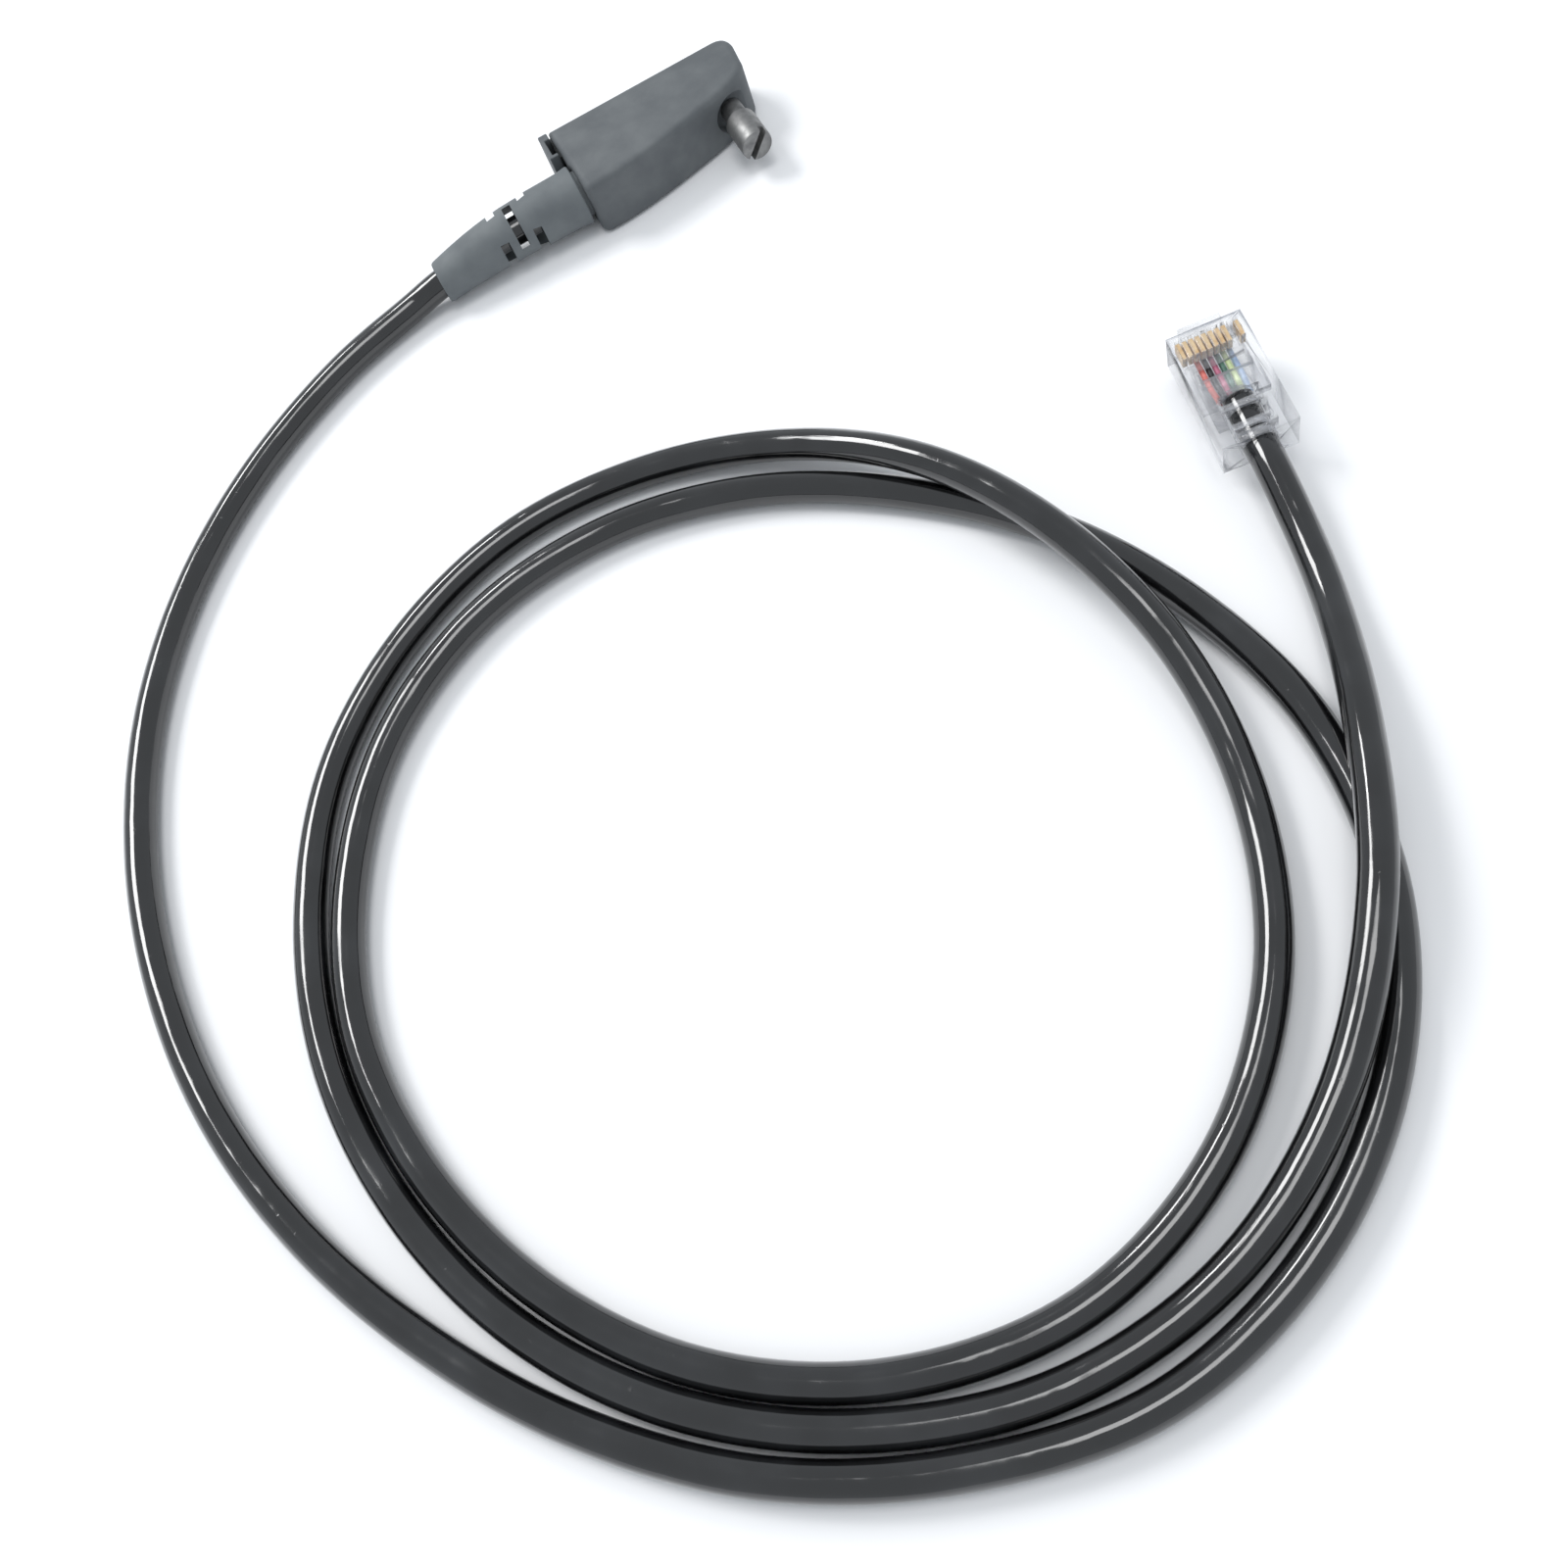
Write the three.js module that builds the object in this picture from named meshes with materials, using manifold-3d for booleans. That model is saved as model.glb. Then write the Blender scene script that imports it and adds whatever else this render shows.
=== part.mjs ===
// Radio programming cable: a side connector with a captive thumb screw on one end,
// a loosely looped round cable, and a clear ten-position modular plug on the other end.
// Millimetres, +Z up. The cable lies on the level plane z = 0, with the connector on its side.
// The origin is on that plane, under the middle of the connector with its screw.
import * as THREE from 'three';
import { mergeVertices } from 'three/addons/utils/BufferGeometryUtils.js';
import Module from 'manifold-3d';

const wasm = await Module();
wasm.setup();

// Cable
const CABLE_DIAMETER = 5.2;
const CABLE_SIDES = 10;
const CABLE_STEPS = 80;
const BORE_CLEARANCE = 0.3;

// Connector housing, measured from the cable end (x) and the radio face (y)
const HOUSING_LENGTH = 37.4;
const HOUSING_HEIGHT = 11.4;
const HOUSING_DEPTH_CABLE_END = 19.0;
const HOUSING_DEPTH_AT_SCREW = 13.3;
const HOUSING_DEPTH_SCREW_END = 10.4;
const HOUSING_EDGE_ROUND = 1.1;
const HOUSING_CORNER_ROUND = 1.9;
const HOUSING_END_LEAN = 0.5;
const SHOULDER_X = 26.6;
const SHOULDER_DEPTH = 14.7;
const HIP_X = 33.6;
const HIP_DEPTH = 12.3;
const SCREW_END_FLAT_START = 7.9;
const SCREW_END_CORNER = 3.4;
const BACK_CURVE_SHARES = [0.38, 0.7];

// Contact insert on the radio face, with a lip that shows at the cable end
const INSERT_LENGTH = 25.0;
const INSERT_HEIGHT = 6.6;
const INSERT_DEPTH = 5.2;
const INSERT_PROUD = 0.8;
const INSERT_GAP = 0.3;
const LIP_THICKNESS = 1.3;
const LIP_DEPTH = 6.2;
const LIP_HEIGHT = 8.4;
const LIP_RECESS = 0.6;
const LIP_RIM = 1.1;
const CONTACT_COUNT = 9;
const CONTACT_PITCH = 2.3;
const CONTACT_DIAMETER = 1.3;
const CONTACT_SIDES = 12;
const CONTACT_LENGTH = 1.6;
const CONTACT_PROUD = 0.5;
const CONTACT_GAP = 0.15;

// Captive thumb screw
const SCREW_FROM_CABLE_END = 31.6;
const SCREW_HEAD_DIAMETER = 5.9;
const SCREW_HEAD_LENGTH = 7.6;
const SCREW_NECK_DIAMETER = 4.2;
const SCREW_NECK_LENGTH = 4.4;
const SCREW_THREAD_DIAMETER = 3.0;
const SCREW_TIP_PROUD = 2.5;
const SCREW_CLEARANCE = 0.3;
const SCREW_CHAMFER = 0.4;
const SCREW_SLOT_WIDTH = 0.9;
const SCREW_SLOT_DEPTH = 1.5;
const SCREW_SLOT_TURN = 52;
const SCREW_POCKET_DIAMETER = 7.4;
const SCREW_POCKET_DEPTH = 1.6;

// Strain relief boot, measured outwards from the cable end of the housing
const BOOT_FROM_RADIO_FACE = 12.6;
const BOOT_LENGTH = 30.5;
const BOOT_SPIGOT_LENGTH = 3.2;
const BOOT_SPIGOT_DIAMETER = 8.4;
const BOOT_ROOT_DIAMETER = 11.0;
const BOOT_COLLAR_DIAMETER = 10.2;
const BOOT_COLLAR_LENGTH = 9.4;
const BOOT_RING_DIAMETER = 9.8;
const BOOT_CONE_START_DIAMETER = 9.4;
const BOOT_TAIL_DIAMETER = 7.6;
const BOOT_EDGE = 0.3;
const BOOT_ROOT_TAPER = 2.5;
const BOOT_GROOVE_COUNT = 3;
const BOOT_GROOVE_WIDTH = 1.7;
const BOOT_RING_WIDTH = 1.6;
const BOOT_RIB_SPREAD = 6.4;
const BOOT_DROOP = 1.5;
const BOOT_SWEEP = 1.0;
const BOOT_SIDES = 28;

// Clear modular plug. Its own frame has x to the nose, y to the left and z up,
// with the underside of the body at z = 0 and the front of the contact comb at x = 0.
const PLUG_WIDTH = 11.68;
const PLUG_LENGTH = 21.5;
const PLUG_HEIGHT = 6.7;
const PLUG_POSITIONS = 10;
const PLUG_PITCH = 1.016;
const PLUG_EMPTY_POSITION = 9;
const COMB_START = 1.0;
const COMB_LENGTH = 3.4;
const COMB_SLOT_WIDTH = 0.66;
const COMB_SLOT_DEPTH = 2.6;
const BLADE_WIDTH = 0.36;
const BLADE_BELOW_TOP = 0.5;
const BLADE_GAP = 0.15;
const WIRE_DIAMETER = 0.9;
const WIRE_CAVITY_WIDTH = 10.6;
const WIRE_CAVITY_HEIGHT = 1.5;
const WIRE_WINDOW_START = 5.9;
const WIRE_WINDOW_LENGTH = 3.4;
const WIRE_WINDOW_WIDTH = 8.0;
const WIRE_END = 2.0;
const WIRE_GATHER = 0.94;
const JACKET_END = 12.4;
const JACKET_WINDOW_START = 13.1;
const JACKET_WINDOW_LENGTHS = [1.7, 2.5, 0.6];
const JACKET_WINDOW_WIDTH = 6.4;
const JACKET_WINDOW_REACH = 1.4;
const CRIMP_BAR = 1.1;
const NOSE_REACH = 2.0;
const NOSE_WIDTH = 6.6;
const NOSE_TOP = 5.2;
const NOSE_BOTTOM = 0.4;
const LATCH_WIDTH = 6.2;
const LATCH_ROOT_THICKNESS = 1.2;
const LATCH_THICKNESS = 1.1;
const LATCH_TIP_THICKNESS = 0.6;
const LATCH_LENGTH = 15.2;
const LATCH_DROP = 2.6;
const LATCH_TAB_LENGTH = 3.0;

// Where the plug lies on its latch, which way it points, and how it leans
const PLUG_NOSE_X = 51.6;
const PLUG_NOSE_Y = -98.8;
const PLUG_HEADING = 80.5;
const PLUG_PITCH_UP = 3;
const PLUG_ROLL = -2.5;

// How far a cutter reaches past the face that it opens, and an overlap that joins two blocks
const CUT_OVERRUN = 5;
const JOIN_OVERLAP = 0.3;

// The cable's centre line from the plug to the boot: x, y and height
const CABLE_ROUTE = [
  [42.9, -143.6, 3.4], [33.5, -166.0, 7.2], [21.0, -187.2, 8.5], [4.2, -204.8, 5.2],
  [-17.4, -216.4, 3.0], [-41.8, -219.3, 2.7], [-65.6, -212.9, 2.7], [-86.4, -199.6, 2.7],
  [-102.1, -180.5, 2.7], [-111.4, -157.7, 2.7], [-114.2, -133.2, 2.7], [-109.5, -108.9, 2.7],
  [-98.1, -87.1, 2.7], [-79.3, -71.1, 2.7], [-56.2, -63.0, 2.7], [-31.7, -65.1, 2.7],
  [-9.8, -76.3, 4.2], [5.8, -95.0, 7.9], [15.5, -117.6, 8.6], [19.9, -141.7, 5.6],
  [16.8, -165.9, 2.9], [6.0, -188.0, 2.7], [-12.1, -204.6, 2.7], [-35.4, -212.5, 2.7],
  [-59.7, -209.3, 2.7], [-81.2, -197.1, 2.7], [-97.0, -178.2, 2.7], [-106.3, -155.4, 2.7],
  [-108.5, -130.9, 2.7], [-101.7, -107.1, 2.7], [-87.7, -87.0, 2.7], [-66.5, -74.5, 2.7],
  [-42.0, -72.3, 2.7], [-18.6, -79.7, 2.7], [1.3, -94.4, 2.7], [16.9, -113.5, 2.7],
  [26.6, -136.2, 2.7], [30.1, -160.7, 2.7], [25.0, -184.7, 2.7], [11.3, -205.2, 2.7],
  [-8.7, -219.5, 2.7], [-32.5, -225.7, 2.7], [-56.9, -221.9, 2.7], [-79.4, -211.9, 2.7],
  [-98.5, -196.1, 2.7], [-113.8, -176.7, 2.7], [-125.6, -155.0, 2.7], [-133.0, -131.4, 2.7],
  [-135.3, -106.8, 2.7], [-132.6, -82.2, 2.7], [-124.8, -58.8, 2.7], [-111.5, -37.9, 2.7],
  [-93.6, -20.9, 2.7], [-72.2, -8.6, 2.8],
];

// Places that follow from the sizes above
const MID_HEIGHT = HOUSING_HEIGHT / 2;
const SCREW_POCKET_FLOOR = HOUSING_DEPTH_AT_SCREW - SCREW_POCKET_DEPTH;
const NECK_START = SCREW_POCKET_FLOOR + SCREW_CLEARANCE;
const HEAD_START = NECK_START + SCREW_NECK_LENGTH;
const HEAD_END = HEAD_START + SCREW_HEAD_LENGTH;
const ORIGIN_X = (HOUSING_LENGTH - LIP_THICKNESS) / 2;
const ORIGIN_Y = (SCREW_TIP_PROUD - HEAD_END) / 2;

const COLOURS = {
  housing: 0x5c6164,
  insert: 0x3c4043,
  gold: 0xcfa35c,
  screw: 0x8d8f8e,
  jacket: 0x17191b,
  clear: 0xe6ecec,
};
const WIRES = [
  ['red', 3, 0xd8574d],
  ['black', 4, 0x1b1b1d],
  ['crimson', 5, 0xa64a64],
  ['dark_green', 6, 0x3f6a58],
  ['yellow_green', 7, 0xb4cf86],
  ['blue', 8, 0x8ea6c4],
];

const radians = THREE.MathUtils.degToRad;

/** A material of one colour with its own gloss. */
function finish(colour, roughness, metalness = 0) {
  return new THREE.MeshStandardMaterial({ color: colour, roughness, metalness });
}

/** A closed geometry as a solid for cutting and joining. */
function solid(geometry) {
  const bare = geometry.clone();
  bare.deleteAttribute('normal');
  bare.deleteAttribute('uv');
  const merged = mergeVertices(bare, 1e-4);
  return new wasm.Manifold(new wasm.Mesh({
    numProp: 3,
    vertProperties: new Float32Array(merged.attributes.position.array),
    triVerts: new Uint32Array(merged.index.array),
  }));
}

/** A solid as a geometry again. */
function geometryOf(body) {
  const mesh = body.getMesh();
  const geometry = new THREE.BufferGeometry();
  geometry.setAttribute('position', new THREE.BufferAttribute(mesh.vertProperties, 3));
  geometry.setIndex(new THREE.BufferAttribute(mesh.triVerts, 1));
  geometry.computeVertexNormals();
  return geometry;
}

/** A block between two corners, as a solid. */
function block(low, high) {
  const size = high.map((value, axis) => value - low[axis]);
  const middle = high.map((value, axis) => (value + low[axis]) / 2);
  return solid(new THREE.BoxGeometry(...size).translate(...middle));
}

/** A round bar along y between two values of y, as a solid. */
function barAlongY(diameter, x, yLow, yHigh, z, sides = 24) {
  const bar = new THREE.CylinderGeometry(diameter / 2, diameter / 2, yHigh - yLow, sides);
  return solid(bar.translate(x, (yLow + yHigh) / 2, z));
}

/** A round bar along x between two values of x, as a solid. */
function barAlongX(diameter, xLow, xHigh, y, z, sides = 24) {
  const bar = new THREE.CylinderGeometry(diameter / 2, diameter / 2, xHigh - xLow, sides);
  return solid(bar.rotateZ(Math.PI / 2).translate((xLow + xHigh) / 2, y, z));
}

/** A turned profile of [radius, distance] points, with its axis laid along x. */
function turnedAlongX(profile, sides) {
  const points = profile.map(([radius, distance]) => new THREE.Vector2(radius, distance));
  return new THREE.LatheGeometry(points, sides).rotateZ(-Math.PI / 2);
}

/** A named mesh. */
function piece(name, geometry, material) {
  const mesh = new THREE.Mesh(geometry, material);
  mesh.name = name;
  return mesh;
}

/** Outline of the housing as it is seen from its side: a wedge with a rounded screw end. */
function housingOutline() {
  const back = HOUSING_DEPTH_CABLE_END;
  const cableEnd = HOUSING_END_LEAN;
  const screwEnd = HOUSING_LENGTH - HOUSING_END_LEAN;
  const outline = new THREE.Shape();
  outline.moveTo(0, 0);
  outline.lineTo(cableEnd, -back + HOUSING_CORNER_ROUND);
  outline.quadraticCurveTo(cableEnd, -back, cableEnd + HOUSING_CORNER_ROUND, -back);
  outline.bezierCurveTo(
    SHOULDER_X * BACK_CURVE_SHARES[0], -back,
    SHOULDER_X * BACK_CURVE_SHARES[1], -(back + SHOULDER_DEPTH) / 2,
    SHOULDER_X, -SHOULDER_DEPTH,
  );
  outline.quadraticCurveTo(SCREW_FROM_CABLE_END, -HOUSING_DEPTH_AT_SCREW, HIP_X, -HIP_DEPTH);
  outline.quadraticCurveTo(screwEnd, -HOUSING_DEPTH_SCREW_END, screwEnd, -SCREW_END_FLAT_START);
  outline.lineTo(HOUSING_LENGTH, -SCREW_END_CORNER);
  outline.quadraticCurveTo(HOUSING_LENGTH, 0, HOUSING_LENGTH - SCREW_END_CORNER, 0);
  return outline;
}

/** Moulded grey housing with its pockets for the insert, the boot and the screw. */
function buildHousing() {
  const shell = new THREE.ExtrudeGeometry(housingOutline(), {
    depth: HOUSING_HEIGHT - 2 * HOUSING_EDGE_ROUND,
    bevelSize: HOUSING_EDGE_ROUND,
    bevelOffset: -HOUSING_EDGE_ROUND,
    bevelThickness: HOUSING_EDGE_ROUND,
    bevelSegments: 3,
    curveSegments: 8,
  });
  shell.translate(0, 0, HOUSING_EDGE_ROUND);
  const pastBack = -HOUSING_DEPTH_CABLE_END - CUT_OVERRUN;
  const insertPocket = block(
    [-CUT_OVERRUN, -INSERT_DEPTH - INSERT_GAP, MID_HEIGHT - INSERT_HEIGHT / 2 - INSERT_GAP],
    [INSERT_LENGTH + INSERT_GAP, CUT_OVERRUN, MID_HEIGHT + INSERT_HEIGHT / 2 + INSERT_GAP],
  );
  const bootSocket = barAlongX(
    BOOT_SPIGOT_DIAMETER + 2 * BORE_CLEARANCE,
    -CUT_OVERRUN,
    BOOT_SPIGOT_LENGTH + BORE_CLEARANCE,
    -BOOT_FROM_RADIO_FACE,
    MID_HEIGHT,
  );
  const screwBore = barAlongY(
    SCREW_THREAD_DIAMETER + 2 * SCREW_CLEARANCE,
    SCREW_FROM_CABLE_END,
    pastBack,
    CUT_OVERRUN,
    MID_HEIGHT,
  );
  const screwPocket = barAlongY(
    SCREW_POCKET_DIAMETER, SCREW_FROM_CABLE_END, pastBack, -SCREW_POCKET_FLOOR, MID_HEIGHT,
  );
  const body = solid(shell)
    .subtract(insertPocket)
    .subtract(bootSocket)
    .subtract(screwBore)
    .subtract(screwPocket);
  return piece('connector_housing', geometryOf(body), finish(COLOURS.housing, 0.6));
}

/** Place of one radio contact along the insert. */
function contactX(index) {
  return (INSERT_LENGTH + (2 * index - CONTACT_COUNT + 1) * CONTACT_PITCH) / 2;
}

/** Contact insert in the radio face, with its lip round the cable end of the housing. */
function buildInsert() {
  const low = MID_HEIGHT - INSERT_HEIGHT / 2;
  const high = MID_HEIGHT + INSERT_HEIGHT / 2;
  let body = block([-LIP_THICKNESS, -INSERT_DEPTH, low], [INSERT_LENGTH, INSERT_PROUD, high]);
  const lipLow = MID_HEIGHT - LIP_HEIGHT / 2;
  const lipHigh = MID_HEIGHT + LIP_HEIGHT / 2;
  body = body.add(block([-LIP_THICKNESS, -LIP_DEPTH, lipLow], [-INSERT_GAP, INSERT_PROUD, lipHigh]));
  body = body.subtract(block(
    [-LIP_THICKNESS - CUT_OVERRUN, -LIP_DEPTH + LIP_RIM, lipLow + LIP_RIM],
    [-LIP_THICKNESS + LIP_RECESS, -LIP_RIM, lipHigh - LIP_RIM],
  ));
  const floor = INSERT_PROUD + CONTACT_PROUD - CONTACT_LENGTH - CONTACT_GAP;
  const wellDiameter = CONTACT_DIAMETER + 2 * CONTACT_GAP;
  for (let index = 0; index < CONTACT_COUNT; index += 1) {
    body = body.subtract(
      barAlongY(wellDiameter, contactX(index), floor, CUT_OVERRUN, MID_HEIGHT, CONTACT_SIDES),
    );
  }
  return piece('contact_insert', geometryOf(body), finish(COLOURS.insert, 0.5));
}

/** Row of round contacts that press on the radio's pads. */
function buildRadioContacts() {
  const contacts = new THREE.Group();
  for (let index = 0; index < CONTACT_COUNT; index += 1) {
    const radius = CONTACT_DIAMETER / 2;
    const pin = new THREE.CylinderGeometry(radius, radius, CONTACT_LENGTH, CONTACT_SIDES);
    const mesh = piece(`radio_contact_${index + 1}`, pin, finish(COLOURS.gold, 0.3, 1));
    mesh.position.set(
      contactX(index), INSERT_PROUD + CONTACT_PROUD - CONTACT_LENGTH / 2, MID_HEIGHT,
    );
    contacts.add(mesh);
  }
  return contacts;
}

/** Captive thumb screw: threaded shank, neck and slotted head. */
function buildScrew() {
  const thread = SCREW_THREAD_DIAMETER / 2;
  const neck = SCREW_NECK_DIAMETER / 2;
  const head = SCREW_HEAD_DIAMETER / 2;
  const chamfer = SCREW_CHAMFER;
  const profile = [
    [0, SCREW_TIP_PROUD], [thread - chamfer, SCREW_TIP_PROUD], [thread, SCREW_TIP_PROUD - chamfer],
    [thread, -NECK_START], [neck, -NECK_START], [neck, -HEAD_START],
    [head - chamfer, -HEAD_START], [head, -HEAD_START - chamfer],
    [head, -HEAD_END + chamfer], [head - chamfer, -HEAD_END], [0, -HEAD_END],
  ].reverse();
  const turned = new THREE.LatheGeometry(
    profile.map(([radius, y]) => new THREE.Vector2(radius, y)), 32,
  );
  const slot = new THREE.BoxGeometry(SCREW_HEAD_DIAMETER + 2, 2 * SCREW_SLOT_DEPTH, SCREW_SLOT_WIDTH);
  slot.rotateY(-radians(SCREW_SLOT_TURN)).translate(0, -HEAD_END, 0);
  const body = solid(turned).subtract(solid(slot));
  const mesh = piece('thumb_screw', geometryOf(body), finish(COLOURS.screw, 0.35, 0.9));
  mesh.position.set(SCREW_FROM_CABLE_END, 0, MID_HEIGHT);
  return mesh;
}

/** Sideways and downward shift of the boot's axis, by distance from the housing. */
function bootBend(distance) {
  const start = BOOT_COLLAR_LENGTH;
  const share = Math.max(0, distance - start) / (BOOT_LENGTH - start);
  return [-BOOT_SWEEP * share * share, -BOOT_DROOP * share * share];
}

/** Strain relief boot: spigot in the housing, collar, slotted rings and a tapered tail. */
function buildBoot() {
  const bore = CABLE_DIAMETER / 2 + BORE_CLEARANCE;
  const ringStart = BOOT_COLLAR_LENGTH;
  const ribPitch = BOOT_GROOVE_WIDTH + BOOT_RING_WIDTH;
  const coneStart = ringStart + BOOT_GROOVE_COUNT * ribPitch - BOOT_RING_WIDTH;
  const coneMiddle = (coneStart + BOOT_LENGTH) / 2;
  const outer = [
    [BOOT_SPIGOT_DIAMETER / 2, BOOT_SPIGOT_LENGTH],
    [BOOT_SPIGOT_DIAMETER / 2, -BORE_CLEARANCE],
    [BOOT_ROOT_DIAMETER / 2, -BORE_CLEARANCE],
    [BOOT_ROOT_DIAMETER / 2 - BOOT_EDGE, -BOOT_ROOT_TAPER],
    [BOOT_COLLAR_DIAMETER / 2, -ringStart],
    [BOOT_RING_DIAMETER / 2, -ringStart - BOOT_GROOVE_WIDTH],
    [BOOT_CONE_START_DIAMETER / 2, -coneStart],
    [(BOOT_CONE_START_DIAMETER + BOOT_TAIL_DIAMETER) / 4, -coneMiddle],
    [BOOT_TAIL_DIAMETER / 2, -BOOT_LENGTH + BOOT_EDGE],
    [BOOT_TAIL_DIAMETER / 2 - BOOT_EDGE, -BOOT_LENGTH],
  ];
  const profile = [
    ...outer,
    [bore, -BOOT_LENGTH],
    [bore, -coneMiddle],
    [bore, -coneStart],
    [bore, -ringStart],
    [bore, BOOT_SPIGOT_LENGTH],
    outer[0],
  ];
  let body = solid(turnedAlongX(profile.reverse(), BOOT_SIDES));
  for (let index = 0; index < BOOT_GROOVE_COUNT; index += 1) {
    const middle = -ringStart - BOOT_GROOVE_WIDTH / 2 - index * ribPitch;
    const cutter = new THREE.BoxGeometry(BOOT_GROOVE_WIDTH, 2 * BOOT_ROOT_DIAMETER, BOOT_RIB_SPREAD);
    cutter.rotateX(radians(index === 1 ? -45 : 45)).translate(middle, 0, 0);
    body = body.subtract(solid(cutter));
  }
  const geometry = geometryOf(body);
  const position = geometry.attributes.position;
  for (let index = 0; index < position.count; index += 1) {
    const [sideways, down] = bootBend(-position.getX(index));
    position.setY(index, position.getY(index) + sideways);
    position.setZ(index, position.getZ(index) + down);
  }
  geometry.computeVertexNormals();
  const mesh = piece('strain_relief_boot', geometry, finish(COLOURS.housing, 0.65));
  mesh.position.set(0, -BOOT_FROM_RADIO_FACE, MID_HEIGHT);
  return mesh;
}

/** Middle of a contact position across the plug, counted from the left. */
function positionY(position) {
  return ((PLUG_POSITIONS + 1) / 2 - position) * PLUG_PITCH;
}

const BLADE_TOP = PLUG_HEIGHT - BLADE_BELOW_TOP;
const BLADE_BOTTOM = PLUG_HEIGHT - COMB_SLOT_DEPTH + BLADE_GAP;
const WIRE_CAVITY_TOP = PLUG_HEIGHT - COMB_SLOT_DEPTH;
const WIRE_CENTRE = WIRE_CAVITY_TOP - WIRE_CAVITY_HEIGHT / 2;

/** Side view of the latch lever: it springs from the nose and runs back under the body. */
function latchOutline() {
  const tip = NOSE_REACH - LATCH_LENGTH;
  const root = NOSE_REACH - LATCH_ROOT_THICKNESS;
  const underside = NOSE_BOTTOM - LATCH_ROOT_THICKNESS;
  const lever = new THREE.Shape();
  lever.moveTo(root, NOSE_BOTTOM + LATCH_ROOT_THICKNESS);
  lever.lineTo(root, NOSE_BOTTOM);
  lever.lineTo(tip + LATCH_TAB_LENGTH, -LATCH_DROP + LATCH_THICKNESS);
  lever.lineTo(tip, -LATCH_DROP + LATCH_TIP_THICKNESS);
  lever.lineTo(tip, -LATCH_DROP);
  lever.lineTo(tip + LATCH_TAB_LENGTH, -LATCH_DROP);
  lever.lineTo((NOSE_REACH + root) / 2, underside);
  lever.quadraticCurveTo(NOSE_REACH, underside, NOSE_REACH, NOSE_BOTTOM);
  lever.lineTo(NOSE_REACH, NOSE_BOTTOM + LATCH_ROOT_THICKNESS);
  return lever;
}

/** Clear body of the plug, moulded in one piece with its latch lever. */
function buildPlugBody() {
  const half = PLUG_WIDTH / 2;
  const pastTop = PLUG_HEIGHT + CUT_OVERRUN;
  let body = block([-PLUG_LENGTH, -half, 0], [0, half, PLUG_HEIGHT]);
  body = body.add(block(
    [-JOIN_OVERLAP, -NOSE_WIDTH / 2, NOSE_BOTTOM], [NOSE_REACH, NOSE_WIDTH / 2, NOSE_TOP],
  ));
  const lever = new THREE.ExtrudeGeometry(latchOutline(), { depth: LATCH_WIDTH, bevelEnabled: false });
  lever.translate(0, 0, -LATCH_WIDTH / 2).rotateX(Math.PI / 2);
  body = body.add(solid(lever));
  for (let position = 1; position <= PLUG_POSITIONS; position += 1) {
    const y = positionY(position);
    body = body.subtract(block(
      [-COMB_START - COMB_LENGTH, y - COMB_SLOT_WIDTH / 2, WIRE_CAVITY_TOP - JOIN_OVERLAP],
      [-COMB_START, y + COMB_SLOT_WIDTH / 2, pastTop],
    ));
  }
  body = body.subtract(block(
    [-JACKET_END - BORE_CLEARANCE, -WIRE_CAVITY_WIDTH / 2, WIRE_CAVITY_TOP - WIRE_CAVITY_HEIGHT],
    [-WIRE_END + BORE_CLEARANCE, WIRE_CAVITY_WIDTH / 2, WIRE_CAVITY_TOP],
  ));
  body = body.subtract(barAlongX(
    CABLE_DIAMETER + 2 * BORE_CLEARANCE,
    -PLUG_LENGTH - CUT_OVERRUN,
    -JACKET_END + BORE_CLEARANCE,
    0,
    PLUG_HEIGHT / 2,
  ));
  body = body.subtract(block(
    [-WIRE_WINDOW_START - WIRE_WINDOW_LENGTH, -WIRE_WINDOW_WIDTH / 2, WIRE_CAVITY_TOP - JOIN_OVERLAP],
    [-WIRE_WINDOW_START, WIRE_WINDOW_WIDTH / 2, pastTop],
  ));
  const windowFloor = (PLUG_HEIGHT + CABLE_DIAMETER) / 2 - JACKET_WINDOW_REACH;
  let start = JACKET_WINDOW_START;
  for (const length of JACKET_WINDOW_LENGTHS) {
    body = body.subtract(block(
      [-start - length, -JACKET_WINDOW_WIDTH / 2, windowFloor],
      [-start, JACKET_WINDOW_WIDTH / 2, pastTop],
    ));
    start += length + CRIMP_BAR;
  }
  return piece('plug_body', geometryOf(body), finish(COLOURS.clear, 0.1));
}

/** Gold blades in the comb; one position is left empty. */
function buildPlugContacts() {
  const blades = new THREE.Group();
  for (let position = 1; position <= PLUG_POSITIONS; position += 1) {
    if (position === PLUG_EMPTY_POSITION) {
      continue;
    }
    const blade = new THREE.BoxGeometry(
      COMB_LENGTH - 2 * BLADE_GAP, BLADE_WIDTH, BLADE_TOP - BLADE_BOTTOM,
    );
    const mesh = piece(`plug_contact_${position}`, blade, finish(COLOURS.gold, 0.3, 1));
    mesh.position.set(
      -COMB_START - COMB_LENGTH / 2, positionY(position), (BLADE_TOP + BLADE_BOTTOM) / 2,
    );
    blades.add(mesh);
  }
  return blades;
}

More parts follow.
